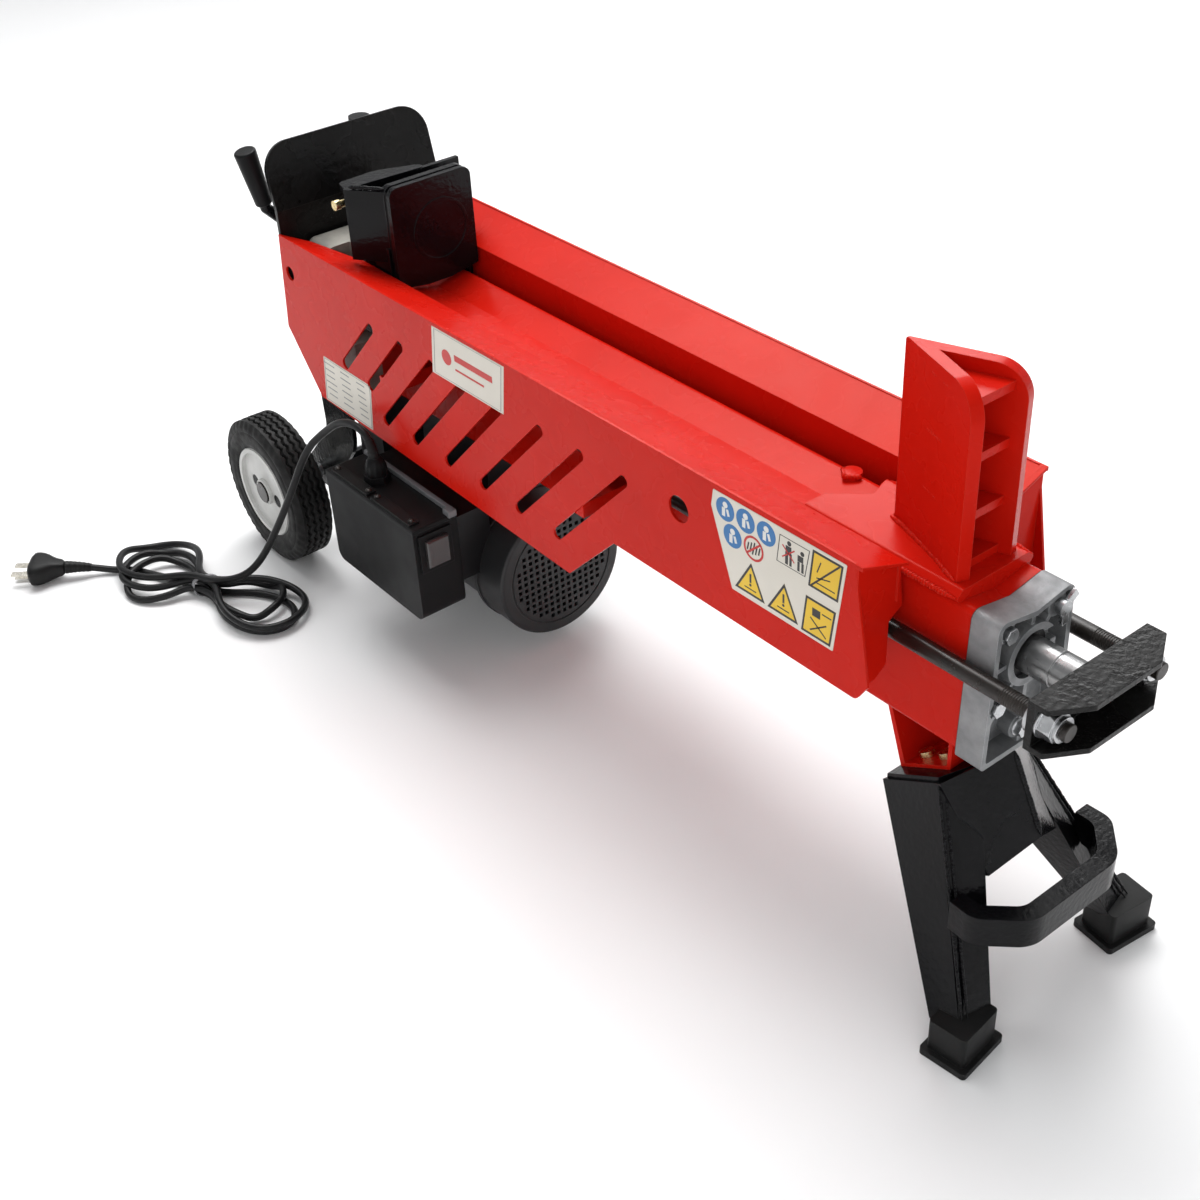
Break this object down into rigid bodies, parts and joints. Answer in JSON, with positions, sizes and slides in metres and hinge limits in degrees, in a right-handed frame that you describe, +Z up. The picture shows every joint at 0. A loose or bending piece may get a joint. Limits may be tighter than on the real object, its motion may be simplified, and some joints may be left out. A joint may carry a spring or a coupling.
{
  "type": "log splitter",
  "caption": "Electric hydraulic log splitter: red oil-tank beam with slotted side panels, pusher drawn by tie rods towards a fixed wedge, wheels at one end and a folded stand at the other.",
  "frame": {"origin": "on the floor under the middle of the machine, halfway between the rear of the tyres and the ends of the tie rods", "axes": "+X along the beam from the wheels and pusher towards the wedge, the way the ram travels; +Y to the machine's left; +Z up"},
  "size_m": [1.007, 0.4746, 0.435],
  "materials": {
    "red_paint": "gloss powder coat, bright red",
    "black_paint": "textured black powder coat",
    "cast_alloy": "raw die casting, matt",
    "grey_casting": "sand casting, matt",
    "zinc": "bright zinc plate",
    "yellow_zinc": "yellow passivated zinc",
    "ground_steel": "ground and polished",
    "dark_steel": "oiled black rod",
    "black_rubber": "matt moulded rubber",
    "tyre_rubber": "matt tread rubber",
    "hub_plastic": "light grey moulding",
    "black_plastic": "fine grained moulding",
    "clear_boot": "smoky flexible cover",
    "paper_label": "off-white printed film",
    "gasket_fibre": "fibre gasket",
    "tie_grey": "light grey twist tie",
    "pin_brass": "plain blades"
  },
  "bodies": {
    "frame": {"beam_tank": "red_paint", "saddle_plate": "red_paint", "wedge_blade": "red_paint", "wedge_ribs": "red_paint", "side_panel_left": "red_paint", "side_panel_right": "red_paint", "panel_brackets": "red_paint", "leg_bracket": "red_paint", "cylinder": "dark_steel", "end_cover": "cast_alloy", "cover_gasket": "gasket_fibre", "rod_seal": "black_rubber", "cover_bolts": "zinc", "valve_housing": "grey_casting", "pump_housing": "black_paint", "rear_hood": "black_paint", "breather": "black_plastic", "lever_lug": "black_paint", "leg_right": "black_paint", "leg_left": "black_paint", "leg_gusset": "black_paint", "leg_bolts": "yellow_zinc", "carry_handle": "black_paint", "foot_right": "black_rubber", "foot_left": "black_rubber", "wheel_bracket": "black_paint", "axle": "zinc", "axle_caps": "hub_plastic", "motor_body": "black_paint", "fan_cover": "black_plastic", "switch_box": "black_plastic", "switch_box_lid": "black_plastic", "cable_gland": "black_plastic", "switch_frame": "black_plastic", "badge": "paper_label", "spec_plate": "paper_label", "hazard_decal": "paper_label", "power_cord": "black_rubber", "cord_hank": "black_rubber", "cord_tie": "tie_grey", "plug": "black_rubber", "plug_pins": "pin_brass"},
    "ram": {"piston_rod": "ground_steel", "crosshead": "black_paint", "tie_rods": "dark_steel", "tie_rod_nuts": "zinc", "pusher": "black_paint", "pusher_lugs": "black_paint", "pusher_pin": "yellow_zinc"},
    "wheel_left": {"tyre_left": "tyre_rubber", "hub_left": "hub_plastic"},
    "wheel_right": {"tyre_right": "tyre_rubber", "hub_right": "hub_plastic"},
    "motor_rotor": {"rotor": "dark_steel", "cooling_fan": "black_plastic"},
    "hand_lever": {"lever_arm": "black_paint", "lever_grip": "black_plastic"},
    "spool": {"valve_spool": "ground_steel"},
    "switch": {"switch_button": "clear_boot"},
    "bleed": {"bleed_screw": "zinc"}
  },
  "joints": [
    {"name": "ram_stroke", "type": "slide", "parent": "frame", "child": "ram", "axis": [1, 0, 0], "range_m": [0, 0.39]},
    {"name": "wheel_left_spin", "type": "hinge", "parent": "frame", "child": "wheel_left", "pos_m": [-0.393, 0.11, 0.072], "axis": [0, 1, 0], "continuous": true},
    {"name": "wheel_right_spin", "type": "hinge", "parent": "frame", "child": "wheel_right", "pos_m": [-0.393, -0.11, 0.072], "axis": [0, 1, 0], "continuous": true},
    {"name": "motor_spin", "type": "hinge", "parent": "frame", "child": "motor_rotor", "pos_m": [-0.205, 0, 0.078], "axis": [1, 0, 0], "continuous": true},
    {"name": "lever_swing", "type": "hinge", "parent": "frame", "child": "hand_lever", "pos_m": [-0.379, -0.052, 0.262], "axis": [0, 1, 0], "range_deg": [-18, 0], "stiffness_Nm_per_rad": 3},
    {"name": "spool_travel", "type": "slide", "parent": "frame", "child": "spool", "axis": [1, 0, 0], "range_m": [-0.0125, 0]},
    {"name": "switch_press", "type": "slide", "parent": "frame", "child": "switch", "axis": [-1, 0, 0], "range_m": [0, 0.003], "stiffness_N_per_m": 800},
    {"name": "bleed_turn", "type": "hinge", "parent": "frame", "child": "bleed", "pos_m": [0.402, 0.022, 0.288], "axis": [1, 0, 0], "range_deg": [0, 180]}
  ],
  "couplings": [
    {"joint": "spool_travel", "follows": "lever_swing", "m_per_rad": 0.038}
  ]
}
